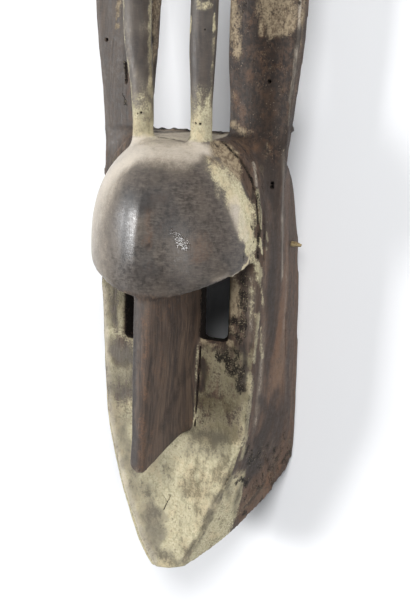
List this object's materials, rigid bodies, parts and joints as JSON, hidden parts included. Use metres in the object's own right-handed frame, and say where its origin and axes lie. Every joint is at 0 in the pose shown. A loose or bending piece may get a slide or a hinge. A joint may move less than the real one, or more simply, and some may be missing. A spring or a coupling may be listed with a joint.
{
  "type": "bamana mask",
  "caption": "Carved wooden face mask with a pointed chin, blade of a nose, domed forehead, round horns and flat ears, hollow behind and lying on its back edge.",
  "frame": {"origin": "on the floor, in the middle of the mask's bounding box", "axes": "+Y from the chin to the tips of the ears, +Z out of the face (up as it lies), +X to the viewer's right"},
  "size_m": [0.2126, 0.688, 0.17],
  "materials": {
    "carved_wood": "old polished and crusty patina, grey-brown to black with cream wear",
    "peg_wood": "pale, dry, broken off"
  },
  "bodies": {
    "root": {"mask": "carved_wood", "side_peg": "peg_wood"}
  },
  "joints": []
}
